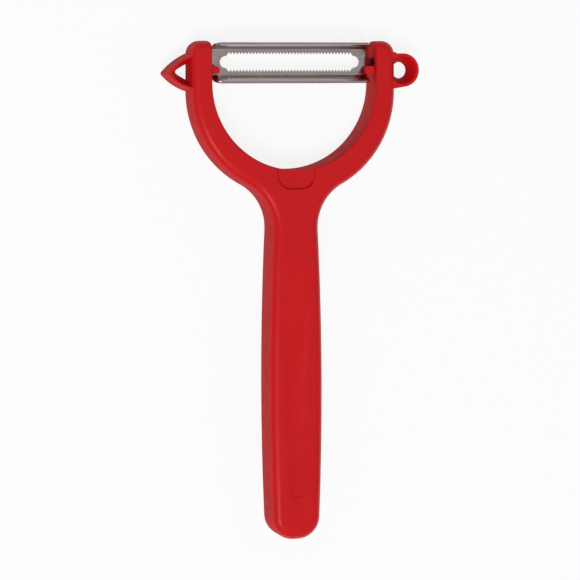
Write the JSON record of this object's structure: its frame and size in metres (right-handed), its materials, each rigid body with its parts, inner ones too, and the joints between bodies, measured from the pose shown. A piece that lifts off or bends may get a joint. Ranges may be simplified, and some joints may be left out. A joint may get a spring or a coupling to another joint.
{
  "type": "vegetable peeler",
  "caption": "Y-shaped peeler: a moulded plastic handle and fork with eye gouges on its arms, and a toothed steel blade that swivels between them.",
  "frame": {"origin": "on the flat back of the grip, on the handle's axis, halfway along the peeler", "axes": "+X across, towards the ring gouge; +Y along the handle, towards the blade; +Z out of the front face, away from the surface it lies on"},
  "size_m": [0.0799, 0.151, 0.0128],
  "materials": {
    "handle_plastic": "red moulded plastic with a soft satin gloss",
    "blade_steel": "fine brushed stainless strip"
  },
  "bodies": {
    "handle": {"handle": "handle_plastic"},
    "blade": {"blade": "blade_steel"}
  },
  "joints": [
    {"name": "blade_swivel", "type": "hinge", "parent": "handle", "child": "blade", "pos_m": [0, 0.0692, 0.0064], "axis": [1, 0, 0], "range_deg": [-3.5, 86.5]}
  ]
}
